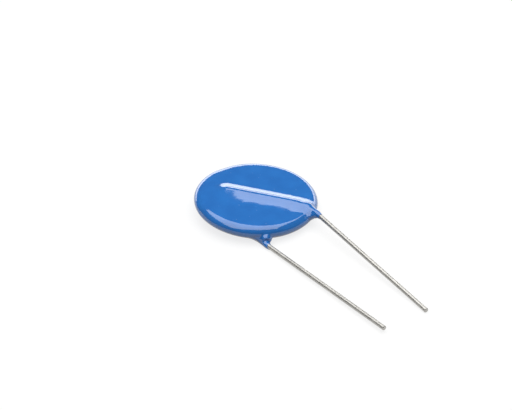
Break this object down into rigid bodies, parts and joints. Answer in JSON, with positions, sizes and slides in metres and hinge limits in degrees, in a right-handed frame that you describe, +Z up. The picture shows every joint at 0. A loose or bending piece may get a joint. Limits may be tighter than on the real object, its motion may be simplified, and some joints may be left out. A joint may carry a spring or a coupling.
{
  "type": "varistor",
  "caption": "Radial disc metal oxide varistor: a round ceramic disc in a glossy blue dipped coating, with straight tinned wire leads side by side.",
  "frame": {"origin": "centre of the underside of the part's box, as it lies at rest on a flat surface", "axes": "+Z up from the surface; -Y from the disc along the leads; +X towards the lead soldered to the upper face"},
  "size_m": [0.0214, 0.0518, 0.0041],
  "materials": {
    "coating": "gloss",
    "ceramic": "matte",
    "silver": "matte",
    "solder": "satin",
    "tinned_wire": "satin"
  },
  "bodies": {
    "root": {"epoxy_coating": "coating", "ceramic_disc": "ceramic", "silver_electrode_top": "silver", "silver_electrode_bottom": "silver", "solder_joint_top": "solder", "solder_joint_bottom": "solder", "lead_top": "tinned_wire", "lead_bottom": "tinned_wire"}
  },
  "joints": []
}
